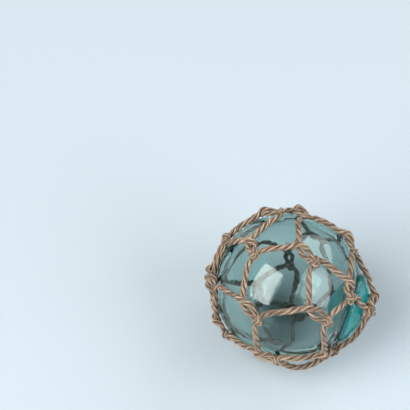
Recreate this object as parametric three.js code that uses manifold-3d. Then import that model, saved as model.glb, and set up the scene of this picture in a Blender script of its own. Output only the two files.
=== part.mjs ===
// A blown glass fishing float in its knotted twine net, lying on a flat surface.
// Millimetres, +Z up, origin on the surface under the middle of the float.
import * as THREE from 'three';
import { mergeVertices } from 'three/addons/utils/BufferGeometryUtils.js';
import Module from 'manifold-3d';

const wasm = await Module();
wasm.setup();

// Driving dimensions
const BALL_DIAMETER = 76;
const SEAL_HALF_ANGLE = 30;
const SEAL_HEIGHT = 3.9;
const SEAL_RIM = 0.9;
const SEAL_CURVE = 2.2;
const SEAL_TAPER = 0.985;
const SEAL_BEARING = -18;
const SEAL_TILT = -8;
const TWINE_DIAMETER = 3.3;
const KNOT_WIDTH = 6.6;
const KNOT_HEIGHT = 5.8;
const BIG_KNOT = 1.25;
const FIT_GAP = 0.3;
const FLOOR_DROP = 40.3;

// Worked out from them
const BALL_RADIUS = BALL_DIAMETER / 2;
const TWINE_RADIUS = TWINE_DIAMETER / 2;

// How finely the round forms are faceted
const BALL_SIDES = 32;
const SEAL_SIDES = 24;
const SEAL_STEPS = 5;
const TWINE_SIDES = 5;
const LINK_SHARES = [0.2, 0.5, 0.8];
const KNOT_SIDES = 8;
const KNOT_STEPS = 5;
const RING_STEPS = 11;

// Where each knot of the net sits, as its bearing and its height above the horizon in degrees,
// and the knots that its own loop hangs from. The net starts at one side and closes over the seal.
// A long loop has its own crossing, the distance from the knot to where its two legs cross.
const KNOTS = {
  start: { at: [165, -8], hangsFrom: [] },
  left_low: { at: [-146, -19], hangsFrom: ['start', 'left_mid'] },
  left_mid: { at: [-166, 15], hangsFrom: ['start'] },
  left_high: { at: [163, 31], hangsFrom: ['start', 'left_mid'] },
  rear_mid: { at: [117, -12], hangsFrom: ['start'] },
  under_rear: { at: [137, -62], hangsFrom: ['start'] },
  top_rear: { at: [99, 52], hangsFrom: ['left_high', 'rear_mid'] },
  top_left: { at: [-165, 62], hangsFrom: ['left_high', 'top_rear'] },
  top_right: { at: [69, 58], hangsFrom: ['top_rear'] },
  rear_low: { at: [83, -40], hangsFrom: ['rear_mid', 'under_rear'] },
  rear_right: { at: [57, -3], hangsFrom: ['top_right', 'rear_low'] },
  top_front: { at: [-44, 68], hangsFrom: ['top_left', 'top_right'], crossing: 10.8 },
  front_left: { at: [-118, 27], hangsFrom: ['left_mid', 'top_left'], crossing: 12.6 },
  under_front: { at: [-88, -61], hangsFrom: ['left_low', 'under_rear'] },
  front_low: { at: [-100, -12], hangsFrom: ['left_low', 'front_left'] },
  under_right: { at: [17, -77], hangsFrom: ['under_rear', 'rear_low'] },
  right_rear: { at: [11, 33], hangsFrom: ['rear_right', 'top_right'] },
  right_low: { at: [8, -37], hangsFrom: ['under_right', 'rear_right'] },
  front_right: { at: [-61, 25], hangsFrom: ['front_left', 'top_front'], crossing: 13.4 },
  right_high: { at: [-34, 28], hangsFrom: ['top_front', 'right_rear'], crossing: 8.3 },
  corner_low: { at: [-53, -22], hangsFrom: ['front_low', 'front_right'] },
  closing: { at: [-25, 7], hangsFrom: ['right_rear', 'right_low'], size: BIG_KNOT },
};

// Lengths of twine that join knots of one row
const CROSS_LINKS = [
  ['front_right', 'right_high'],
  ['right_high', 'closing'],
  ['closing', 'corner_low'],
  ['under_front', 'front_low'],
  ['under_front', 'under_right'],
  ['right_low', 'corner_low'],
];

// The doubled length between two knots of the bottom edge hangs looser and lower than the first
const LOOSE_LINK = ['front_low', 'corner_low'];
const LOOSE_DROP = 9;
const LOOSE_STAND_OFF = 2.6;

const UP = new THREE.Vector3(0, 0, 1);

function direction([bearing, height]) {
  const polar = THREE.MathUtils.degToRad(90 - height);
  const turn = THREE.MathUtils.degToRad(bearing);
  const flat = Math.sin(polar);
  return new THREE.Vector3(flat * Math.cos(turn), flat * Math.sin(turn), Math.cos(polar));
}

const SEAL_AXIS = direction([SEAL_BEARING, SEAL_TILT]);

// Joining and cutting of closed meshes
function toSolid(geometry) {
  const bare = geometry.clone();
  bare.deleteAttribute('normal');
  bare.deleteAttribute('uv');
  const merged = mergeVertices(bare, 1e-4);
  return new wasm.Manifold(new wasm.Mesh({
    numProp: 3,
    vertProperties: new Float32Array(merged.attributes.position.array),
    triVerts: new Uint32Array(merged.index.array),
  }));
}

function toGeometry(solid) {
  const mesh = solid.getMesh();
  const geometry = new THREE.BufferGeometry();
  geometry.setAttribute('position', new THREE.BufferAttribute(mesh.vertProperties, 3));
  geometry.setIndex(new THREE.BufferAttribute(mesh.triVerts, 1));
  return geometry;
}

// The seal's outer surface rises smoothly from its rim to the middle of the button
function sealRise(angle) {
  const share = Math.min(angle / THREE.MathUtils.degToRad(SEAL_HALF_ANGLE), 1);
  return SEAL_RIM + (SEAL_HEIGHT - SEAL_RIM) * (1 - share ** SEAL_CURVE);
}

// Distance from the middle of the ball to where twine can lie, seal included: the twine
// starts to rise a little before it meets the seal's rim
const APPROACH = 2 * TWINE_RADIUS / BALL_RADIUS;

function glassRadius(toward) {
  const half = THREE.MathUtils.degToRad(SEAL_HALF_ANGLE);
  const angle = Math.max(toward.angleTo(SEAL_AXIS) - APPROACH / 2, 0);
  const fade = THREE.MathUtils.smoothstep(half + APPROACH - angle, 0, APPROACH);
  return BALL_RADIUS + fade * (FIT_GAP + sealRise(angle));
}

function place(toward, lift) {
  return toward.clone().multiplyScalar(glassRadius(toward) + FIT_GAP + lift);
}

// Directions along the shortest way between two directions
function between(from, to, share) {
  const whole = from.angleTo(to);
  const a = Math.sin((1 - share) * whole) / Math.sin(whole);
  const b = Math.sin(share * whole) / Math.sin(whole);
  return from.clone().multiplyScalar(a).addScaledVector(to, b).normalize();
}

// A knot's own frame: out of the glass, along the net towards what it hangs from, and across
function knotFrame(name) {
  const { at, hangsFrom, size = 1 } = KNOTS[name];
  const out = direction(at);
  const back = new THREE.Vector3();
  for (const upper of hangsFrom) {
    const toUpper = direction(KNOTS[upper].at).sub(out);
    back.add(toUpper.projectOnPlane(out).normalize());
  }
  if (back.lengthSq() < 1e-6) {
    back.copy(UP).projectOnPlane(out);
  }
  back.normalize();
  const across = new THREE.Vector3().crossVectors(out, back);
  return { out, back, across, size };
}

// A point beside a knot, given along its back, across and out directions
function beside(frame, alongBack, alongAcross, lift) {
  const toward = frame.out.clone().multiplyScalar(BALL_RADIUS)
    .addScaledVector(frame.back, alongBack)
    .addScaledVector(frame.across, alongAcross)
    .normalize();
  return place(toward, lift);
}

// A smooth curve whose steps fall on the points that it is given
class ThroughPoints extends THREE.CatmullRomCurve3 {
  getUtoTmapping(share) {
    return share;
  }
}

function tube(points) {
  const outline = new THREE.Shape();
  for (let side = 0; side < TWINE_SIDES; side += 1) {
    const turn = (side / TWINE_SIDES) * Math.PI * 2;
    const spot = [TWINE_RADIUS * Math.cos(turn), TWINE_RADIUS * Math.sin(turn)];
    if (side === 0) {
      outline.moveTo(...spot);
    } else {
      outline.lineTo(...spot);
    }
  }
  return new THREE.ExtrudeGeometry(outline, {
    steps: points.length - 1,
    bevelEnabled: false,
    extrudePath: new ThroughPoints(points, false, 'centripetal'),
  });
}

// The two legs that a knot hangs from cross a little before it, then run side by side into it
const CROSSING = 9.5;
const LEG_SPREAD = 1.9;
const OVER_RISE = 0.9;

function legEnd(upper, lower) {
  const frame = knotFrame(lower);
  const { hangsFrom: legs, crossing = CROSSING } = KNOTS[lower];
  const toUpper = direction(KNOTS[upper].at).sub(frame.out);
  const side = legs.length > 1 ? Math.sign(toUpper.dot(frame.across)) : 0;
  return [
    beside(frame, crossing, 0, TWINE_RADIUS + (side > 0 ? OVER_RISE : 0)),
    beside(frame, crossing / 2, -side * LEG_SPREAD, TWINE_RADIUS + OVER_RISE / 2),
    beside(frame, 0, -side * LEG_SPREAD / 2, KNOT_HEIGHT / 2),
  ];
}

function link(from, to, hung) {
  const a = direction(KNOTS[from].at);
  const ends = hung ? legEnd(from, to) : [place(direction(KNOTS[to].at), KNOT_HEIGHT / 2)];
  const b = ends[0].clone().normalize();
  const points = [place(a, KNOT_HEIGHT / 2)];
  for (const share of LINK_SHARES) {
    points.push(place(between(a, b, share), TWINE_RADIUS));
  }
  return toSolid(tube([...points, ...ends]));
}

function looseLink([from, to]) {
  const a = direction(KNOTS[from].at);
  const b = direction(KNOTS[to].at);
  const points = [place(a, KNOT_HEIGHT / 2)];
  for (const share of LINK_SHARES) {
    const swell = Math.sin(Math.PI * share);
    const toward = between(a, b, share).multiplyScalar(BALL_RADIUS);
    toward.z -= LOOSE_DROP * swell;
    points.push(place(toward.normalize(), TWINE_RADIUS + LOOSE_STAND_OFF * swell));
  }
  return toSolid(tube([...points, place(b, KNOT_HEIGHT / 2)]));
}

// A knot is a tight lump, longer towards the legs it hangs from, whose turns show as low ridges
// that wind around it
const KNOT_LENGTH = 8.2;
const RIDGE = 0.1;

function knot(name) {
  const { out, back, across, size } = knotFrame(name);
  const lump = new THREE.SphereGeometry(1, KNOT_SIDES, KNOT_STEPS);
  const spots = lump.attributes.position;
  for (let index = 0; index < spots.count; index += 1) {
    const spot = new THREE.Vector3().fromBufferAttribute(spots, index);
    const around = Math.atan2(spot.z, spot.x);
    const swell = 1 + RIDGE * Math.cos(3 * around + 2 * spot.y) * (1 - spot.y ** 2);
    spots.setXYZ(index, spot.x * swell, spot.y, spot.z * swell);
  }
  lump.scale((KNOT_WIDTH / 2) * size, (KNOT_HEIGHT / 2) * size, (KNOT_LENGTH / 2) * size);
  lump.applyMatrix4(new THREE.Matrix4().makeBasis(across, out, back));
  lump.translate(...place(out, (KNOT_HEIGHT / 2) * size));
  return toSolid(lump);
}

// The net begins as a small ring of twine that its first lengths are tied to
const START_RING_DIAMETER = 9;
const START_RING_LIFT = 0.4;

function startRing() {
  const frame = knotFrame('start');
  const ring = new THREE.TorusGeometry(START_RING_DIAMETER / 2, TWINE_RADIUS, TWINE_SIDES, RING_STEPS);
  ring.applyMatrix4(new THREE.Matrix4().makeBasis(frame.across, frame.back, frame.out.clone().negate()));
  ring.translate(...place(frame.out, TWINE_RADIUS + START_RING_LIFT));
  return toSolid(ring);
}

function netGeometry() {
  let net = startRing();
  for (const [name, { hangsFrom }] of Object.entries(KNOTS)) {
    if (hangsFrom.length > 0) {
      net = net.add(knot(name));
    }
    for (const upper of hangsFrom) {
      net = net.add(link(upper, name, true));
    }
  }
  for (const [from, to] of CROSS_LINKS) {
    net = net.add(link(from, to, false));
  }
  net = net.add(looseLink(LOOSE_LINK));
  const below = new THREE.BoxGeometry(BALL_DIAMETER, BALL_DIAMETER, BALL_DIAMETER);
  below.translate(0, 0, -FLOOR_DROP - BALL_RADIUS);
  return toGeometry(net.subtract(toSolid(below)));
}

function ballGeometry() {
  return mergeVertices(new THREE.SphereGeometry(BALL_RADIUS, BALL_SIDES, BALL_SIDES / 2));
}

// The button of glass over the blowing hole, turned about its own axis
function sealGeometry() {
  const half = THREE.MathUtils.degToRad(SEAL_HALF_ANGLE);
  const profile = [];
  for (let step = 0; step <= SEAL_STEPS; step += 1) {
    const angle = (step / SEAL_STEPS) * half;
    const radius = BALL_RADIUS + FIT_GAP;
    profile.push(new THREE.Vector2(radius * Math.sin(angle), radius * Math.cos(angle)));
  }
  for (let step = SEAL_STEPS; step >= 0; step -= 1) {
    const angle = (step / SEAL_STEPS) * half * SEAL_TAPER;
    const radius = BALL_RADIUS + FIT_GAP + sealRise(angle);
    profile.push(new THREE.Vector2(radius * Math.sin(angle), radius * Math.cos(angle)));
  }
  profile[0].x = 0;
  profile[profile.length - 1].x = 0;
  return new THREE.LatheGeometry(profile, SEAL_SIDES);
}

function named(name, geometry, color, roughness) {
  const material = new THREE.MeshStandardMaterial({ color, roughness, metalness: 0 });
  const mesh = new THREE.Mesh(geometry, material);
  mesh.name = name;
  return mesh;
}

const ball = named('glass_ball', ballGeometry(), 0x9ccac8, 0.04);
const seal = named('seal_button', sealGeometry(), 0x167c78, 0.04);
const net = named('net', netGeometry(), 0x8f6a4e, 0.85);
seal.quaternion.setFromUnitVectors(new THREE.Vector3(0, 1, 0), SEAL_AXIS);

// The middle of the ball stands over the origin of the float's own box, with the flats at z = 0
const float = new THREE.Group();
float.add(ball, seal, net);
float.updateMatrixWorld(true);
const bounds = new THREE.Box3().setFromObject(float, true);
const middle = bounds.getCenter(new THREE.Vector3());
float.position.set(-middle.x, -middle.y, FLOOR_DROP);

export default float;
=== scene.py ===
import math

import bpy
import numpy as np
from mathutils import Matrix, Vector, noise


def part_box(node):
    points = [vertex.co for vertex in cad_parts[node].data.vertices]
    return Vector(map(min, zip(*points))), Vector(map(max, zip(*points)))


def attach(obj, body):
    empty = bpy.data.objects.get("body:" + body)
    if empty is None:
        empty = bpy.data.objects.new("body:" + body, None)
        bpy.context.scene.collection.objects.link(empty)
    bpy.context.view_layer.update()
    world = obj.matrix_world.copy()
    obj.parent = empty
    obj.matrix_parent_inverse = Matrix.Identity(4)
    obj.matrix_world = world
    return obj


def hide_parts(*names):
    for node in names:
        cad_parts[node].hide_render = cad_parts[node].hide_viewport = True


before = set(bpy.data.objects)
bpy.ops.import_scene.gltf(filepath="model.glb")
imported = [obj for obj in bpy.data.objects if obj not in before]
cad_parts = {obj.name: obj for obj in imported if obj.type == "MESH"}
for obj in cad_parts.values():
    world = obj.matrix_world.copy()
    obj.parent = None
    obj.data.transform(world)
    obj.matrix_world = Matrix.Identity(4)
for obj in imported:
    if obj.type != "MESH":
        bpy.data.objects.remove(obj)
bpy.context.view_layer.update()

MM = 0.001

# Starts of the random draws, so that each run gives the same float
BUBBLE_SEED = 7
LINK_SEED = 5
YARN_SEED = 77
FIBRE_SEED = 23
FRAYED_SEED = 31

# Sizes of the float, the same as the solids have
BALL_RADIUS = 38.0 * MM
SEAL_HALF_ANGLE = math.radians(30)
SEAL_HEIGHT = 3.9 * MM
SEAL_RIM = 0.9 * MM
SEAL_CURVE = 2.2
SEAL_BEARING = -18
SEAL_TILT = -8
TWINE = 3.3 * MM
FIT_GAP = 0.3 * MM

# The glass as it is blown: its wall, how far its surfaces wander, and its bubbles
WALL = 4.0 * MM
OUTER_WAVE = 0.10 * MM
INNER_WAVE = 0.24 * MM
SEAL_WAVE = 0.45 * MM
BUBBLES = 110
BUBBLE_RADII = (0.10 * MM, 0.40 * MM)
# Where in the wall's thickness they lie, and how far from the seal in radians
BUBBLE_DEPTHS = (0.3, 0.7)
BUBBLES_OFF_SEAL = 0.05
BUBBLE_ROWS = 6

# The seal's glass runs through the wall and hangs as a round gob into the cavity
SEAL_INNER_ANGLE = math.radians(32)
SEAL_BULGE = 11.5 * MM
SEAL_SWELL = 0.4 * MM
# The wall runs this far into the seal all round, as the two are fused
FUSED = 0.02 * MM

# Each glass: its skin's colour, clarity and roughness, the colour it lets through, and how strongly
AQUA_GLASS = ((1.0, 1.0, 1.0), 1.0, 0.0, (0.06, 0.46, 0.41), 108.0)
TEAL_GLASS = ((0.10, 0.70, 0.69), 0.82, 0.06, (0.10, 0.76, 0.76), 110.0)
GLASS_IOR = 1.5
RIPPLE_SCALE = 90
RIPPLE_STRENGTH = 0.04
RIPPLE_DEPTH = 0.3 * MM

# How the twine is laid, and how tight it gets in a knot
STRANDS = 3
LAY_LENGTH = 14.0 * MM
KNOT_TWINE = 2.55 * MM
KNOT_SCALE = 0.84
ROPE_STEP = 0.6 * MM
STRAND_SIDES = 12
STRAND_REACH = 0.262
STRAND_RADIUS = 0.234
PRESSED_HEIGHT = 1.5 * MM
LUMPS = 5
LUMP_PITCH = (250, 900)
LUMP_SIZE = 0.022

# The twine's dark, middle and light colours, and the painted shade in its grooves: how much of the colour
# they keep
FIBRE_COLOURS = ((0.07, 0.04, 0.023), (0.265, 0.168, 0.105), (0.61, 0.50, 0.37))
FIBRE_GROOVE_SHADE = 0.42
FRAYED_COLOURS = ((0.26, 0.18, 0.12), (0.48, 0.38, 0.28), (0.74, 0.65, 0.53))
FRAYED_GROOVE_SHADE = 0.8

# Each knot: bearing and height above the horizon in degrees, and the neighbours its loop reaches to
KNOTS = {
    "start": ((165, -8), ()),
    "left_low": ((-146, -19), ("start", "left_mid")),
    "left_mid": ((-166, 15), ("start", "left_high")),
    "left_high": ((163, 31), ("start", "top_rear")),
    "rear_mid": ((117, -12), ("start", "top_rear")),
    "under_rear": ((137, -62), ("start", "rear_low")),
    "top_rear": ((99, 52), ("rear_mid", "left_high")),
    "top_left": ((-165, 62), ("left_high", "top_rear")),
    "top_right": ((69, 58), ("top_rear", "rear_right")),
    "rear_low": ((83, -40), ("rear_mid", "rear_right")),
    "rear_right": ((57, -3), ("top_right", "rear_low")),
    "top_front": ((-44, 68), ("top_left", "top_right")),
    "front_left": ((-118, 27), ("left_mid", "top_left")),
    "under_front": ((-88, -61), ("left_low", "under_rear")),
    "front_low": ((-100, -12), ("left_low", "front_left")),
    "under_right": ((17, -77), ("under_rear", "rear_low")),
    "right_rear": ((11, 33), ("top_right", "rear_right")),
    "right_low": ((8, -37), ("under_right", "rear_right")),
    "front_right": ((-61, 25), ("front_left", "top_front")),
    "right_high": ((-34, 28), ("top_front", "right_rear")),
    "corner_low": ((-53, -22), ("front_low", "front_right")),
    "closing": ((-25, 7), ("right_rear", "right_low")),
}
# The links that no loop makes, and one slack link between two knots at the front
CROSS_LINKS = (
    ("front_right", "right_high"),
    ("right_high", "closing"),
    ("closing", "corner_low"),
    ("under_front", "front_low"),
    ("under_front", "under_right"),
    ("right_low", "corner_low"),
)
LOOSE_LINK = ("front_low", "corner_low")
LOOSE_DROP = 9.0 * MM
LOOSE_STAND_OFF = 2.6 * MM
KNOT_SIZES = {
    "closing": 1.25,
    "top_rear": 0.85,
    "top_right": 0.85,
    "right_rear": 0.8,
    "left_mid": 0.85,
}
# How far from its knot a loop's legs cross, and the knots whose loops are longer or shorter
CROSSING = 9.5 * MM
CROSSINGS = {
    "top_front": 10.8 * MM,
    "front_left": 12.6 * MM,
    "front_right": 13.4 * MM,
    "right_high": 8.3 * MM,
}
LEG_SPREAD = 2.1 * MM
START_RING_RADIUS = 4.5 * MM
START_RING_LIFT = 3.1 * MM
START_RING_POINTS = 25

low, high = (np.array(v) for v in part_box("glass_ball"))
CENTRE = (low + high) / 2


def unit(v):
    v = np.asarray(v, float)
    return v / np.linalg.norm(v, axis=-1, keepdims=True)


def direction(bearing, height):
    b, h = math.radians(bearing), math.radians(height)
    return np.array([math.cos(h) * math.cos(b), math.cos(h) * math.sin(b), math.sin(h)])


SEAL_AXIS = direction(SEAL_BEARING, SEAL_TILT)


def seal_rise(angle):
    share = np.clip(angle / SEAL_HALF_ANGLE, 0, 1)
    return SEAL_RIM + (SEAL_HEIGHT - SEAL_RIM) * (1 - share**SEAL_CURVE)


def twine_floor(toward):
    """How far from the middle of the ball twine can lie, with the seal's dome."""
    approach = TWINE / BALL_RADIUS
    angle = max(math.acos(np.clip(toward @ SEAL_AXIS, -1, 1)) - approach / 2, 0)
    share = np.clip((SEAL_HALF_ANGLE + approach - angle) / approach, 0, 1)
    fade = share * share * (3 - 2 * share)
    return BALL_RADIUS + fade * (FIT_GAP + float(seal_rise(angle)))


def place(toward, lift):
    return CENTRE + toward * (twine_floor(toward) + FIT_GAP + lift)


def mesh_object(name, verts, faces, smooth=True):
    me = bpy.data.meshes.new(name)
    me.from_pydata([tuple(v) for v in verts], [], faces, shade_flat=not smooth)
    me.update()
    ob = bpy.data.objects.new(name, me)
    bpy.context.scene.collection.objects.link(ob)
    return ob


# Materials
class Nodes:
    """A short way to write a node tree."""

    def __init__(self, name):
        self.material = bpy.data.materials.new(name)
        self.material.use_nodes = True
        self.tree = self.material.node_tree
        self.tree.nodes.clear()
        self.out = self.add("ShaderNodeOutputMaterial")

    def add(self, kind, **settings):
        node = self.tree.nodes.new(kind)
        for key, value in settings.items():
            setattr(node, key, value)
        return node

    def link(self, source, target):
        self.tree.links.new(source, target)

    def ramp(self, source, stops):
        node = self.add("ShaderNodeValToRGB")
        while len(node.color_ramp.elements) < len(stops):
            node.color_ramp.elements.new(0.5)
        for element, (position, colour) in zip(node.color_ramp.elements, stops):
            element.position = position
            element.color = (*colour, 1)
        self.link(source, node.inputs[0])
        return node.outputs[0]

    def math(self, operation, a, b=None):
        node = self.add("ShaderNodeMath", operation=operation)
        for socket, value in zip(node.inputs, (a, b)):
            if value is None:
                continue
            if isinstance(value, (int, float)):
                socket.default_value = value
            else:
                self.link(value, socket)
        return node.outputs[0]

    def multiply(self, a, b):
        node = self.add("ShaderNodeMix", data_type="RGBA", blend_type="MULTIPLY")
        node.inputs[0].default_value = 1.0
        self.link(a, node.inputs[6])
        self.link(b, node.inputs[7])
        return node.outputs[2]

    def noise(self, vector, scale, detail=4.0, roughness=0.6):
        node = self.add("ShaderNodeTexNoise")
        node.inputs["Scale"].default_value = scale
        node.inputs["Detail"].default_value = detail
        node.inputs["Roughness"].default_value = roughness
        self.link(vector, node.inputs["Vector"])
        return node.outputs[0]

    def bump(self, height, strength, distance, shader):
        node = self.add("ShaderNodeBump")
        node.inputs["Strength"].default_value = strength
        node.inputs["Distance"].default_value = distance
        self.link(height, node.inputs["Height"])
        self.link(node.outputs[0], shader.inputs["Normal"])


def glass_material(name, tint, clarity, roughness, colour, density):
    """Glass that takes its colour from how much of it the light goes through, and less so from its skin."""
    n = Nodes(name)
    shader = n.add("ShaderNodeBsdfPrincipled")
    shader.inputs["Base Color"].default_value = (*tint, 1)
    shader.inputs["Roughness"].default_value = roughness
    shader.inputs["IOR"].default_value = GLASS_IOR
    shader.inputs["Transmission Weight"].default_value = clarity
    ripple = n.noise(n.add("ShaderNodeTexCoord").outputs["Object"], RIPPLE_SCALE, 1)
    n.bump(ripple, RIPPLE_STRENGTH, RIPPLE_DEPTH, shader)
    volume = n.add("ShaderNodeVolumeAbsorption")
    volume.inputs["Color"].default_value = (*colour, 1)
    volume.inputs["Density"].default_value = density
    n.link(shader.outputs[0], n.out.inputs["Surface"])
    n.link(volume.outputs[0], n.out.inputs["Volume"])
    return n.material


def twine_material(name, dark, middle, light, groove_shade):
    """Plant fibre: yarns and streaks along each strand, painted shade in the grooves, weathered blotches.
    """
    n = Nodes(name)
    uv = n.add("ShaderNodeUVMap", uv_map="fibre")
    split = n.add("ShaderNodeSeparateXYZ")
    n.link(uv.outputs[0], split.inputs[0])
    length, turn = split.outputs[0], n.math("MULTIPLY", split.outputs[1], 2 * math.pi)
    facing = n.math("COSINE", turn)
    around = n.add("ShaderNodeCombineXYZ")
    n.link(length, around.inputs[0])
    n.link(n.math("MULTIPLY", facing, 1.1), around.inputs[1])
    n.link(n.math("MULTIPLY", n.math("SINE", turn), 1.1), around.inputs[2])
    streaks = n.noise(around.outputs[0], 1.1, 3, 0.6)
    fine = n.noise(around.outputs[0], 5.5, 4, 0.7)
    twist = n.math("ADD", n.math("MULTIPLY", turn, 5.0), n.math("MULTIPLY", length, 1.9))
    yarns = n.math("ADD", n.math("MULTIPLY", n.math("COSINE", twist), 0.5), 0.5)
    both = n.math("ADD", n.math("MULTIPLY", streaks, 0.6), n.math("MULTIPLY", fine, 0.4))
    tone = n.math("ADD", n.math("MULTIPLY", both, 0.86), n.math("MULTIPLY", yarns, 0.14))
    base = n.ramp(tone, ((0.38, dark), (0.50, middle), (0.61, light)))
    blotches = n.noise(n.add("ShaderNodeTexCoord").outputs["Object"], 110, 3)
    weather = n.ramp(blotches, ((0.32, (0.70, 0.66, 0.64)), (0.68, (1.15, 1.13, 1.12))))
    # Painted shade: the sides of each strand that turn away from the outside, down into the grooves between
    # strands, are darkened in the colour
    painted_groove_shade = n.ramp(facing, ((0.05, (groove_shade, groove_shade * 0.93, groove_shade * 0.88)), (0.72, (1, 1, 1))))
    shader = n.add("ShaderNodeBsdfPrincipled")
    n.link(n.multiply(n.multiply(base, weather), painted_groove_shade), shader.inputs["Base Color"])
    shader.inputs["Roughness"].default_value = 0.6
    shader.inputs["Specular IOR Level"].default_value = 0.35
    shader.inputs["Sheen Weight"].default_value = 0.15
    shader.inputs["Sheen Roughness"].default_value = 0.5
    n.bump(n.math("ADD", both, n.math("MULTIPLY", yarns, 0.35)), 0.8, 0.28 * MM, shader)
    n.link(shader.outputs[0], n.out.inputs["Surface"])
    return n.material


def paper_material(name, colour):
    """Plain dull paper."""
    n = Nodes(name)
    shader = n.add("ShaderNodeBsdfPrincipled")
    shader.inputs["Base Color"].default_value = (*colour, 1)
    shader.inputs["Roughness"].default_value = 0.85
    n.link(shader.outputs[0], n.out.inputs["Surface"])
    return n.material


# Glass
RING_POINTS = 256
WALL_STEPS = 120
SEAL_STEPS = 36


def turned(angles, radius_at):
    """Rings of points around the seal's axis, at angles from it, with the radius set by direction."""
    side = unit(np.cross((0, 0, 1), SEAL_AXIS))
    turns = np.linspace(0, 2 * math.pi, RING_POINTS, endpoint=False)
    flat = np.outer(np.cos(turns), side) + np.outer(np.sin(turns), np.cross(SEAL_AXIS, side))
    rings = []
    for angle in angles:
        toward = math.cos(angle) * SEAL_AXIS + math.sin(angle) * flat
        rings.append([CENTRE + t * radius_at(t, angle) for t in toward])
    return rings


def closed_shell(rings, first_pole, last_pole):
    """Quads between rings, with a fan around a pole at both ends."""
    verts = [first_pole] + [p for ring in rings for p in ring] + [last_pole]
    count = RING_POINTS
    faces = []
    for i in range(count):
        j = (i + 1) % count
        faces.append((0, 1 + i, 1 + j))
        for r in range(len(rings) - 1):
            a = 1 + r * count
            faces.append((a + i, a + count + i, a + count + j, a + j))
        a = 1 + (len(rings) - 1) * count
        faces.append((len(verts) - 1, a + j, a + i))
    return verts, faces


def wave(toward, size, seed):
    v = Vector(toward) * size + Vector((seed, seed, seed))
    return noise.noise(v, noise_basis="PERLIN_ORIGINAL")


def outer_radius(toward, angle):
    return BALL_RADIUS + OUTER_WAVE * wave(toward, 3.1, 11)


def inner_radius(toward, angle):
    swirl = wave(toward, 1.5, 3) + 0.30 * wave(toward, 3.6, 21)
    return BALL_RADIUS - WALL + INNER_WAVE * swirl


def dome_radius(toward, angle):
    """The seal's outer face, which rounds over into the ball at its rim."""
    edge = SEAL_RIM / BALL_RADIUS
    left = min((SEAL_HALF_ANGLE - angle) / edge, 1)
    drop = SEAL_RIM * (1 - math.sqrt(max(0.0, 1 - (1 - left) ** 2)))
    folds = wave(toward * (1.0, 1.0, 0.35), 9.0, 31) + 0.8 * wave(toward, 3.5, 13)
    swell = SEAL_SWELL * left + SEAL_WAVE * left * folds
    return outer_radius(toward, angle) + seal_rise(angle) - drop + swell


def bulge_radius(toward, angle):
    share = angle / SEAL_INNER_ANGLE
    return inner_radius(toward, angle) - SEAL_BULGE * (1 - share**2)


def bubble(where, radius):
    """A little air bubble in the wall: a round shape whose faces look inwards."""
    rows = BUBBLE_ROWS
    cols = 2 * rows
    verts, faces = [], []
    for row in range(1, rows):
        polar = math.pi * row / rows
        for col in range(cols):
            turn = math.pi * col / rows
            spot = (math.sin(polar) * math.cos(turn), math.sin(polar) * math.sin(turn), math.cos(polar))
            verts.append(where + radius * np.array(spot))
    top, bottom = len(verts), len(verts) + 1
    verts += [where + radius * np.array([0, 0, 1]), where - radius * np.array([0, 0, 1])]
    for col in range(cols):
        nxt = (col + 1) % cols
        faces.append((top, nxt, col))
        for row in range(rows - 2):
            a, b = row * cols, (row + 1) * cols
            faces.append((a + col, a + nxt, b + nxt, b + col))
        last = (rows - 2) * cols
        faces.append((bottom, last + col, last + nxt))
    return verts, faces


def glass_ball():
    """The blown wall, open where the seal goes through it, with bubbles in the glass."""
    rng = np.random.default_rng(BUBBLE_SEED)
    sunk = FUSED / BALL_RADIUS
    outer = np.linspace(SEAL_HALF_ANGLE - sunk, math.pi, WALL_STEPS + 1)[:-1]
    inner = np.linspace(SEAL_INNER_ANGLE - sunk, math.pi, WALL_STEPS + 1)[:-1]
    rings = turned(inner[::-1], inner_radius) + turned(outer, outer_radius)
    surfaces = (inner_radius, outer_radius)
    poles = [CENTRE - SEAL_AXIS * radius_at(-SEAL_AXIS, math.pi) for radius_at in surfaces]
    verts, faces = closed_shell(rings, *poles)
    for _ in range(BUBBLES):
        toward = unit(rng.normal(size=3))
        small, big = BUBBLE_RADII
        radius = small + (big - small) * rng.random() ** 3
        reach = BALL_RADIUS - WALL * rng.uniform(*BUBBLE_DEPTHS)
        if toward @ SEAL_AXIS < math.cos(SEAL_INNER_ANGLE + BUBBLES_OFF_SEAL):
            more, more_faces = bubble(CENTRE + toward * reach, radius)
            faces += [tuple(k + len(verts) for k in f) for f in more_faces]
            verts += more
    return mesh_object("glass_ball_wall", verts, faces)


def seal_button():
    """The gob of glass that closes the blowing hole: a dome outside and a bulge inside."""
    outer = np.linspace(0, SEAL_HALF_ANGLE, SEAL_STEPS + 1)[1:]
    inner = np.linspace(0, SEAL_INNER_ANGLE, SEAL_STEPS + 1)[1:]
    rings = turned(outer, dome_radius) + turned(inner[::-1], bulge_radius)
    poles = [CENTRE + SEAL_AXIS * radius_at(SEAL_AXIS, 0) for radius_at in (dome_radius, bulge_radius)]
    return mesh_object("seal_button_glass", *closed_shell(rings, *poles))


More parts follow.
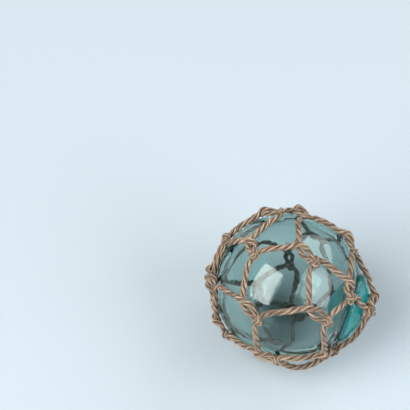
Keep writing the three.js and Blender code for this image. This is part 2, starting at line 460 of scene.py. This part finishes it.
# The net's route
class Knot:
    """A knot's place and its own frame: out of the glass, back along its loop, and across."""

    def __init__(self, name):
        at, self.loop = KNOTS[name]
        self.name = name
        self.out = direction(*at)
        self.size = KNOT_SIZES.get(name, 1.0)
        self.scale = self.size * KNOT_SCALE * MM
        self.crossing = CROSSINGS.get(name, CROSSING)
        if self.loop:
            back = sum((unit(self.flat(direction(*KNOTS[n][0]))) for n in self.loop), np.zeros(3))
        else:
            back = self.flat(np.array([0, 0, 1.0]))
        self.back = unit(back)
        self.across = np.cross(self.out, self.back)
        self.legs = {"loop": [], "work": []}

    def flat(self, v):
        v = v - self.out
        return v - self.out * (v @ self.out)

    def beside(self, along, side, lift):
        toward = unit(self.out * BALL_RADIUS + self.back * along + self.across * side)
        return place(toward, lift)

    def side_of(self, other):
        return float(self.flat(direction(*KNOTS[other][0])) @ self.across)

    def towards(self, goal, reach, lift, along=0.0, side=0.0):
        way = unit(self.flat(goal))
        back, across = float(way @ self.back) * reach, float(way @ self.across) * reach
        return self.beside(along + back, side + across, lift)

    def arrival(self, other):
        """Where the link from another knot comes in: at the crossing of the loop, or at the knot."""
        if other in self.loop:
            return unit(self.out * BALL_RADIUS + self.back * self.crossing)
        return self.out


def net_links():
    links = []
    for name, (_, loop) in KNOTS.items():
        links += [(other, name) for other in loop]
    unique = {frozenset(pair): pair for pair in reversed(links + list(CROSS_LINKS))}
    return list(unique.values())[::-1]


# A sheet bend in millimetres along, across and out from the knot's middle, for half of the loop's
# turn and for the working twine that comes up through it, round its neck and under itself
LOOP_HALF = (
    (3.3, 1.2, 2.4),
    (2.0, 0.9, 2.8),
    (0.6, 1.0, 2.9),
    (-0.8, 1.35, 2.9),
    (-2.0, 1.05, 3.1),
    (-2.7, 0.0, 3.2),
)
WORK_ROUTE = (
    (-0.9, 2.9, 1.6),
    (-0.7, 1.4, 1.5),
    (-0.5, 0.3, 2.0),
    (-0.1, -0.5, 3.7),
    (0.6, -1.2, 4.5),
    (1.2, -2.0, 4.1),
    (1.7, -2.6, 2.8),
    (1.8, -1.6, 1.4),
    (1.8, 0.0, 1.2),
    (1.7, 1.6, 1.4),
    (1.5, 2.5, 2.4),
    (0.8, 1.5, 3.9),
    (0.1, 0.0, 4.0),
    (-0.3, -1.5, 3.5),
    (0.3, -2.8, 2.3),
)
FIRST_EXIT = (-1.2 * MM, 3.8 * MM)
LAST_EXIT = (0.9 * MM, -2.6 * MM)
EXIT_REACH = 3.4 * MM
CROSS_UNDER = 1.7 * MM
CROSS_OVER = 3.8 * MM
EYE_LIFT = 1.8 * MM
LEG_LIFT = TWINE / 2 - FIT_GAP
LEG_WIDTH = TWINE * 0.92
EXIT_WIDTH = TWINE * 0.97

# How uneven the links are, in their way, their height and their width
LINK_SHARES = (0.2, 0.4, 0.6, 0.8)
LINK_WANDER = 0.004
LINK_RISE = 0.08 * MM
LINK_THINNING = 0.05
LOOSE_SHARES = (0.14, 0.3, 0.5, 0.7, 0.86)
LOOSE_END_LIFT = 2.6 * MM


def loop_route(knot):
    """Points from the leg that crosses over, round the loop's end, to the leg that crosses under."""
    s = knot.scale
    cross = knot.crossing
    half = [(cross * 0.6, LEG_SPREAD, EYE_LIFT)] + [(a * s, b * s, n * s) for a, b, n in LOOP_HALF]
    first = [(a, -b, n) for a, b, n in half]
    second = half[::-1][1:]
    points = [(cross, 0.0, CROSS_OVER)] + first + second + [(cross, 0.0, CROSS_UNDER)]
    tight = KNOT_TWINE * knot.size
    widths = [TWINE, LEG_WIDTH] + [tight] * (len(points) - 4) + [LEG_WIDTH, TWINE]
    return [(*knot.beside(*p), w) for p, w in zip(points, widths)]


def work_route(knots, knot, first, last):
    """Points from the leg on the loop's left, through the knot, to the leg on its right if any."""
    s = knot.scale
    points = []
    for leg, start in ((first, FIRST_EXIT), (last, LAST_EXIT)):
        if leg:
            exit_point = knot.towards(knots[leg].arrival(knot.name), EXIT_REACH, LEG_LIFT, *start)
            points.append((*exit_point, EXIT_WIDTH))
    inside = [(*knot.beside(a * s, b * s, n * s), KNOT_TWINE * knot.size) for a, b, n in WORK_ROUTE]
    return points[:1] + inside + points[1:]


def slerp(a, b, share):
    whole = math.acos(np.clip(a @ b, -1, 1))
    return unit(math.sin((1 - share) * whole) * a + math.sin(share * whole) * b)


def link_route(a_point, b_point, rng):
    """Points along the glass between two leg ends, a little uneven in their way and their width."""
    a, b = unit(np.array(a_point[:3]) - CENTRE), unit(np.array(b_point[:3]) - CENTRE)
    sideways = unit(np.cross(a, b))
    points = []
    for share in LINK_SHARES:
        toward = unit(slerp(a, b, share) + sideways * rng.normal() * LINK_WANDER)
        lift = LEG_LIFT + abs(rng.normal()) * LINK_RISE
        points.append((*place(toward, lift), TWINE * (1 + LINK_THINNING * rng.normal())))
    return points


def loose_route(a, b):
    """The slack link, which droops and stands off the glass between its two knots."""
    points = [(*place(a.out, LOOSE_END_LIFT), KNOT_TWINE)]
    for share in LOOSE_SHARES:
        swell = math.sin(math.pi * share)
        toward = slerp(a.out, b.out, share) * BALL_RADIUS
        toward[2] -= LOOSE_DROP * swell
        points.append((*place(unit(toward), LEG_LIFT + LOOSE_STAND_OFF * swell), TWINE))
    points.append((*place(b.out, LOOSE_END_LIFT), KNOT_TWINE))
    return points


# How far from the start ring's middle, and how high, the hooked end of a leg goes in millimetres
RING_HOOK = ((9.0, 1.9), (6.8, 3.0), (4.5, 5.0), (2.5, 3.2), (3.7, 1.3), (6.1, 1.2))


def ring_hook(knot, other):
    """The end of a leg that is hooked over the start ring and back under it."""
    goal = direction(*KNOTS[other][0])
    return [(*knot.towards(goal, reach * MM, lift * MM), KNOT_TWINE) for reach, lift in RING_HOOK]


def passes_through(knots):
    """For each knot and neighbour: the points that a twine from there follows, and where it goes on."""
    passes = {}
    for knot in knots.values():
        if knot.name == "start":
            continue
        over, under = sorted(knot.legs["loop"], key=knot.side_of, reverse=True)[:2]
        work = sorted(knot.legs["work"], key=knot.side_of, reverse=True)
        first, last = work[0], work[1] if len(work) > 1 else None
        loop, through = loop_route(knot), work_route(knots, knot, first, last)
        for route, one, two in ((loop, over, under), (through, first, last)):
            passes[knot.name, one] = (route, two)
            passes[knot.name, two] = (route[::-1], one)
    return passes


def chains():
    """The net as a few long runs of twine, each followed from knot to knot."""
    rng = np.random.default_rng(LINK_SEED)
    knots = {name: Knot(name) for name in KNOTS}
    links = net_links()
    for pair in links:
        for here, there in (pair, pair[::-1]):
            knots[here].legs["loop" if there in knots[here].loop else "work"].append(there)
    passes = passes_through(knots)
    used = set()

    def follow(run, here, there):
        """Adds to a run that ends at one knot the link from there and all that comes after it."""
        while there and frozenset((here, there)) not in used:
            used.add(frozenset((here, there)))
            if there == "start":
                end_points, after = ring_hook(knots["start"], here), None
            else:
                end_points, after = passes[there, here]
            run += link_route(run[-1], end_points[0], rng) + end_points
            here, there = there, after
        return run

    runs = []
    for other in knots["start"].legs["work"]:
        if frozenset(("start", other)) not in used:
            runs.append(follow(ring_hook(knots["start"], other)[::-1], "start", other))
    for here, there in links:
        if frozenset((here, there)) not in used:
            route, before = passes[here, there]
            whole = follow(route[::-1], here, there)
            runs.append(follow(whole[::-1], here, before))
    runs.append(loose_route(knots[LOOSE_LINK[0]], knots[LOOSE_LINK[1]]))
    return runs, knots


# Twine from routes
def pressed(points):
    """Points near the floor are pressed flat against it, as the net is where the float lies on it."""
    z = points[..., 2]
    low = PRESSED_HEIGHT * np.exp(np.minimum((z - PRESSED_HEIGHT) / PRESSED_HEIGHT, 0))
    points[..., 2] = np.where(z < PRESSED_HEIGHT, low, z)
    return points


CURVE_SAMPLES = 14
MERGE_GAP = 0.25 * MM
FEWEST_STEPS = 8
SOFTENING = 2


def centripetal(points):
    """A smooth curve through the points; the fourth number of each is the twine's width there."""
    p = np.array(points, float)
    keep = [0]
    for i in range(1, len(p)):
        if np.linalg.norm(p[i, :3] - p[keep[-1], :3]) > MERGE_GAP:
            keep.append(i)
    p = p[keep]
    p = np.vstack([2 * p[0] - p[1], p, 2 * p[-1] - p[-2]])
    out = []
    for i in range(1, len(p) - 2):
        p0, p1, p2, p3 = p[i - 1 : i + 3]
        gaps = [np.linalg.norm(b[:3] - a[:3]) ** 0.5 for a, b in ((p0, p1), (p1, p2), (p2, p3))]
        t1 = gaps[0]
        t2 = t1 + gaps[1]
        t3 = t2 + gaps[2]
        for t in np.linspace(t1, t2, CURVE_SAMPLES, endpoint=False):
            a1 = (t1 - t) / t1 * p0 + t / t1 * p1
            a2 = (t2 - t) / (t2 - t1) * p1 + (t - t1) / (t2 - t1) * p2
            a3 = (t3 - t) / (t3 - t2) * p2 + (t - t2) / (t3 - t2) * p3
            b1 = (t2 - t) / t2 * a1 + t / t2 * a2
            b2 = (t3 - t) / (t3 - t1) * a2 + (t - t1) / (t3 - t1) * a3
            out.append((t2 - t) / (t2 - t1) * b1 + (t - t1) / (t2 - t1) * b2)
    out.append(p[-2])
    return np.array(out)


def lengths_along(curve):
    return np.concatenate([[0], np.cumsum(np.linalg.norm(np.diff(curve[:, :3], axis=0), axis=1))])


def even(curve):
    """The curve again, with its points a rope step apart."""
    along = lengths_along(curve)
    count = max(int(round(along[-1] / ROPE_STEP)), FEWEST_STEPS)
    wanted = np.linspace(0, along[-1], count + 1)
    return np.stack([np.interp(wanted, along, curve[:, k]) for k in range(curve.shape[1])], 1)


def soften(curve, rounds):
    for _ in range(rounds):
        inner = (curve[:-2] + 2 * curve[1:-1] + curve[2:]) / 4
        curve = np.vstack([curve[:1], inner, curve[-1:]])
    return curve


def carried_sides(centres):
    """Two side directions for each point, carried along the curve without twist."""
    tangents = unit(np.gradient(centres, axis=0))
    sides = np.zeros_like(centres)
    sides[0] = unit(np.cross(tangents[0], (0.3, 0.5, 0.8)))
    for i in range(1, len(centres)):
        sides[i] = unit(sides[i - 1] - tangents[i] * (sides[i - 1] @ tangents[i]))
    return sides, np.cross(tangents, sides)


def add_fibre_map(ob, uvs):
    layer = ob.data.uv_layers.new(name="fibre")
    layer.uv.foreach_set("vector", np.array([c for face in uvs for c in face], np.float32).ravel())


FIBRE_UNITS = 260


class Twine:
    """Collects strands of twine as rings of points, with their fibre coordinates."""

    def __init__(self, name):
        self.name = name
        self.verts, self.faces, self.uvs, self.count = [], [], [], 0

    def strand(self, centres, radii, outward, seed):
        """One strand: rings of points, closed at both ends, a little lumpy."""
        tangents = unit(np.gradient(centres, axis=0))
        e1 = unit(outward - tangents * np.sum(outward * tangents, 1, keepdims=True))
        e2 = np.cross(tangents, e1)
        rings, sides, base = len(centres), STRAND_SIDES, self.count
        along = lengths_along(centres)
        rng = np.random.default_rng(seed)
        waves = []
        for _ in range(LUMPS):
            waves.append((rng.uniform(*LUMP_PITCH), rng.uniform(0, 2 * math.pi), rng.integers(1, 4)))
        for turn in np.linspace(0, 2 * math.pi, sides, endpoint=False):
            lump = sum(np.sin(f * along + p + m * turn) for f, p, m in waves) * LUMP_SIZE
            r = (radii * (1 + lump))[:, None]
            self.verts.append(centres + e1 * r * math.cos(turn) + e2 * r * math.sin(turn))
        self.count += rings * sides
        length = rng.uniform(0, 50) + along * FIBRE_UNITS
        for k in range(sides):
            a, b = base + k * rings, base + (k + 1) % sides * rings
            v0, v1 = k / sides, (k + 1) / sides
            for i in range(rings - 1):
                self.faces.append((a + i, b + i, b + i + 1, a + i + 1))
                here, there = length[i], length[i + 1]
                self.uvs.append(((here, v0), (here, v1), (there, v1), (there, v0)))
        for ring, step in ((0, -1), (rings - 1, 1)):
            self.faces.append(tuple(base + k * rings + ring for k in range(sides))[::step])
            self.uvs.append(tuple((length[ring], k / sides) for k in range(sides))[::step])

    def rope(self, curve, seed):
        """Strands laid left-handed around a curve of centres and widths."""
        centres, widths = curve[:, :3], curve[:, 3]
        side, over = carried_sides(centres)
        turn = -2 * math.pi * lengths_along(curve) / LAY_LENGTH + seed
        for k in range(STRANDS):
            angle = (turn + 2 * math.pi * k / STRANDS)[:, None]
            outward = np.cos(angle) * side + np.sin(angle) * over
            middle = centres + outward * (widths * STRAND_REACH)[:, None]
            self.strand(middle, widths * STRAND_RADIUS, outward, 100 * seed + k)

    def build(self, material):
        ob = mesh_object(self.name, pressed(np.vstack(self.verts)), self.faces)
        add_fibre_map(ob, self.uvs)
        ob.data.materials.append(material)
        return ob


# The loose fibres: how many on the twine, on the pale fray and on the loose yarn
LOOSE_FIBRES = 2200
FRAYED_FIBRES = 350
YARN_FIBRES = 30
HAIR_STEPS = 4
HAIR_SIDES = 3
# Their length and thickness in millimetres, and how far out in the twine they start
HAIR_LENGTHS = (0.7, 2.8)
HAIR_THICKNESS = (0.03, 0.055)
HAIR_ROOT = 0.42
# The fibres of a frayed end
TUFT_FIBRES = 26
TUFT_LENGTH = 1.8 * MM
TUFT_SPREAD = 0.4
TUFT_THICKNESS = 0.06 * MM


class Hairs:
    """Collects loose fibres: thin tapered three-sided hairs."""

    def __init__(self, seed):
        self.rng = np.random.default_rng(seed)
        self.verts, self.faces, self.uvs = [], [], []

    def hair(self, start, way, bend, length, thick):
        """A fibre from a start, along a way, that bends and thins towards its tip."""
        steps, sides = HAIR_STEPS, HAIR_SIDES
        base = len(self.verts)
        side = unit(np.cross(way, (0.2, 0.7, 0.4)))
        over = np.cross(way, side)
        for s in range(steps + 1):
            share = s / steps
            middle = start + way * length * share + bend * length * share**2
            for k in range(sides):
                turn = 2 * math.pi * k / sides
                r = thick * (1 - 0.75 * share)
                self.verts.append(middle + r * (math.cos(turn) * side + math.sin(turn) * over))
        for s in range(steps):
            for k in range(sides):
                a, b = base + sides * s + k, base + sides * s + (k + 1) % sides
                self.faces.append((a, b, b + sides, a + sides))
                self.uvs.append(((s, 0.0), (s, 0.1), (s + 1, 0.1), (s + 1, 0.0)))
        tip = base + sides * steps
        for face in ((base + 2, base + 1, base), (tip, tip + 1, tip + 2)):
            self.faces.append(face)
            self.uvs.append(((0, 0), (0, 0.1), (0, 0.05)))

    def along(self, curves, count):
        """Fibres that stand out anywhere from the twine, more or less along it."""
        rng = self.rng
        weights = np.array([len(c) for c in curves], float)
        for _ in range(count):
            curve = curves[rng.choice(len(curves), p=weights / weights.sum())]
            i = rng.integers(1, len(curve) - 1)
            centre, width = curve[i, :3], curve[i, 3]
            tangent = unit(curve[i + 1, :3] - curve[i - 1, :3])
            out = unit(np.cross(tangent, rng.normal(size=3)))
            away = unit(centre - CENTRE)
            if out @ away < -0.2:
                out = out - 2 * away * (out @ away)
            way = unit(tangent * rng.choice((-1, 1)) * rng.uniform(0.6, 1.6) + out * rng.uniform(0.3, 0.9))
            bend = unit(rng.normal(size=3)) * rng.uniform(0.1, 0.5)
            length = rng.uniform(*HAIR_LENGTHS) * MM
            root = centre + out * width * HAIR_ROOT
            self.hair(root, way, bend, length, rng.uniform(*HAIR_THICKNESS) * MM)

    def tuft(self, start, way):
        """A frayed end: fibres that leave one spot and spread."""
        rng = self.rng
        for _ in range(TUFT_FIBRES):
            lean = unit(way + rng.normal(size=3) * TUFT_SPREAD)
            bend = rng.normal(size=3) * 0.12
            root = start + rng.normal(size=3) * TUFT_THICKNESS * 2.5
            length = TUFT_LENGTH * rng.uniform(0.6, 1.1)
            self.hair(root, lean, bend, length, TUFT_THICKNESS * rng.uniform(0.7, 1.3))

    def build(self, name, material):
        ob = mesh_object(name, pressed(np.array(self.verts)), self.faces)
        add_fibre_map(ob, self.uvs)
        ob.data.materials.append(material)
        return ob


def ring_route(knot):
    """The ring that the net is started on, closed with a short overlap."""
    route = []
    for turn in np.linspace(0, 2 * math.pi, START_RING_POINTS):
        back, across = START_RING_RADIUS * math.cos(turn), START_RING_RADIUS * math.sin(turn)
        route.append((*knot.beside(back, across, START_RING_LIFT), KNOT_TWINE))
    return route + route[1:2]


# The cut ends that stand out of the closing knot, in millimetres in its own frame
CUT_ENDS = (
    ((0.8, 0.2, 3.6), (0.4, 1.2, 4.6), (-0.2, 2.2, 5.2), (-0.8, 3.1, 5.5)),
    ((-0.6, 0.2, 2.8), (-2.0, 0.9, 3.3), (-3.3, 1.2, 3.2), (-4.4, 0.8, 2.6)),
)
# A yarn that has come loose by the knot at the front, and how thin it gets
LOOSE_YARN = ((1.2, 2.6, 1.6), (2.0, 4.0, 2.0), (3.7, 5.6, 2.8), (5.5, 7.1, 2.9), (7.2, 8.4, 2.5))
YARN_WIDTHS = (1.9 * MM, 1.7 * MM, 1.4 * MM, 1.0 * MM, 0.6 * MM)
CUT_END_WIDTH = KNOT_TWINE * 1.2
# The twine is split into pieces that stay below this
TRIANGLES_A_PIECE = 190000


def net():
    """The whole net in its pieces: runs of twine, the start ring, cut ends and loose fibres."""
    runs, knots = chains()
    fibre = twine_material("twine_fibre", *FIBRE_COLOURS, FIBRE_GROOVE_SHADE)
    pale = twine_material("frayed_fibre", *FRAYED_COLOURS, FRAYED_GROOVE_SHADE)
    closing = knots["closing"]
    ends = []
    for spots in CUT_ENDS:
        s = closing.scale
        ends.append([(*closing.beside(a * s, b * s, n * s), CUT_END_WIDTH) for a, b, n in spots])
    routes = runs + [ring_route(knots["start"])] + ends
    curves = [even(soften(even(centripetal(route)), SOFTENING)) for route in routes]
    pieces = []
    twine = Twine("net_twine_1")
    for number, curve in enumerate(curves):
        coming = 2 * len(curve) * STRANDS * STRAND_SIDES
        if 2 * len(twine.faces) + coming > TRIANGLES_A_PIECE:
            pieces.append(twine.build(fibre))
            twine = Twine(f"net_twine_{len(pieces) + 1}")
        twine.rope(curve, number + 1)
    pieces.append(twine.build(fibre))
    fuzz = Hairs(FIBRE_SEED)
    fuzz.along(curves, LOOSE_FIBRES)
    pieces.append(fuzz.build("net_loose_fibres", fibre))
    front_low = knots["front_low"]
    spots = [front_low.beside(a * MM, b * MM, n * MM) for a, b, n in LOOSE_YARN]
    yarn_curve = even(centripetal([(*spot, width) for spot, width in zip(spots, YARN_WIDTHS)]))
    yarn = Twine("net_loose_yarn")
    yarn.rope(yarn_curve, YARN_SEED)
    pieces.append(yarn.build(pale))
    frayed = Hairs(FRAYED_SEED)
    for curve in curves[-len(ends) :] + [yarn_curve]:
        frayed.tuft(curve[-1, :3], unit(curve[-1, :3] - curve[-4, :3]))
    frayed.along(curves, FRAYED_FIBRES)
    frayed.along([yarn_curve], YARN_FIBRES)
    pieces.append(frayed.build("net_frayed_ends", pale))
    return pieces


# Camera: a long lens that looks down at the float, which lies right of and below the middle
LENS_PX = 1480.0
FRAME_PX = 410.0
SENSOR = 36.0
CAMERA_ELEVATION = math.radians(54)
CAMERA_DEPTH = 765 * MM
CAMERA_NEAR = 0.02
BALL_AT_PX = (288.0, 286.0)


def camera():
    cam = bpy.data.objects.new("camera", bpy.data.cameras.new("camera"))
    bpy.context.scene.collection.objects.link(cam)
    cam.data.sensor_width = SENSOR
    cam.data.lens = SENSOR * LENS_PX / FRAME_PX
    cam.data.clip_start = CAMERA_NEAR
    up = np.array([0, math.sin(CAMERA_ELEVATION), math.cos(CAMERA_ELEVATION)])
    back = np.array([0, -math.cos(CAMERA_ELEVATION), math.sin(CAMERA_ELEVATION)])
    right = np.array([1.0, 0, 0])
    across = (BALL_AT_PX[0] - FRAME_PX / 2) / LENS_PX * CAMERA_DEPTH
    down = (BALL_AT_PX[1] - FRAME_PX / 2) / LENS_PX * CAMERA_DEPTH
    cam.location = CENTRE - right * across + up * down + back * CAMERA_DEPTH
    cam.rotation_euler = (math.pi / 2 - CAMERA_ELEVATION, 0, 0)
    bpy.context.scene.camera = cam


# The room's lights: bearing, height, width and length in metres, radiance, colour and roll
SOFTBOXES = {
    "softbox_left": (-149, 42, (1.39, 2.07), 6.8, (1.0, 1.0, 0.98), 17),
    "softbox_right": (-27, 33, (2.05, 1.34), 4.0, (0.96, 0.98, 1.0), 36.5),
    "softbox_rear": (44, 34, (1.36, 1.31), 2.7, (0.94, 0.98, 1.0), -28),
}
SOFTBOX_DISTANCE = 2.0
ROOM_COLOURS = ((0.05, (0.30, 0.33, 0.35)), (0.45, (0.33, 0.36, 0.38)))
FLOOR_HALF = 4
FLOOR_COLOUR = (0.43, 0.485, 0.525)


def softbox(name, bearing, height, size, radiance, colour, roll):
    """An even rectangle of light that faces the float."""
    light = bpy.data.lights.new(name, "AREA")
    light.shape = "RECTANGLE"
    light.size, light.size_y = size
    light.energy = radiance * math.pi * size[0] * size[1]
    light.color = colour
    ob = bpy.data.objects.new(name, light)
    bpy.context.scene.collection.objects.link(ob)
    toward = Vector(direction(bearing, height))
    ob.location = Vector(CENTRE) + toward * SOFTBOX_DISTANCE
    ob.rotation_euler = toward.to_track_quat("Z", "Y").to_euler()
    ob.rotation_euler.rotate_axis("Z", math.radians(roll))


def studio_world():
    """A plain pale room, a little lighter overhead."""
    world = bpy.data.worlds.new("studio")
    world.use_nodes = True
    tree = world.node_tree
    coord = tree.nodes.new("ShaderNodeTexCoord")
    split = tree.nodes.new("ShaderNodeSeparateXYZ")
    ramp = tree.nodes.new("ShaderNodeValToRGB")
    for element, (position, colour) in zip(ramp.color_ramp.elements, ROOM_COLOURS):
        element.position = position
        element.color = (*colour, 1)
    tree.links.new(coord.outputs["Generated"], split.inputs[0])
    tree.links.new(split.outputs[2], ramp.inputs[0])
    tree.links.new(ramp.outputs[0], tree.nodes["Background"].inputs[0])
    bpy.context.scene.world = world


def studio():
    h = FLOOR_HALF
    corners = [(-h, -h, 0), (h, -h, 0), (h, h, 0), (-h, h, 0)]
    floor = mesh_object("floor", corners, [(0, 1, 2, 3)], smooth=False)
    floor.data.materials.append(paper_material("floor_paper", FLOOR_COLOUR))
    for name, settings in SOFTBOXES.items():
        softbox(name, *settings)
    studio_world()
    bpy.context.scene.view_settings.view_transform = "Standard"


camera()
studio()

ball = glass_ball()
ball.data.materials.append(glass_material("aqua_glass", *AQUA_GLASS))
seal = seal_button()
seal.data.materials.append(glass_material("teal_glass", *TEAL_GLASS))

for piece, node, slot_name in [(ball, "glass_ball", "glass"), (seal, "seal_button", "seal_glass")]:
    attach(piece, "root")
    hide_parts(node)
for piece in net():
    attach(piece, "root")
    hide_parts("net")
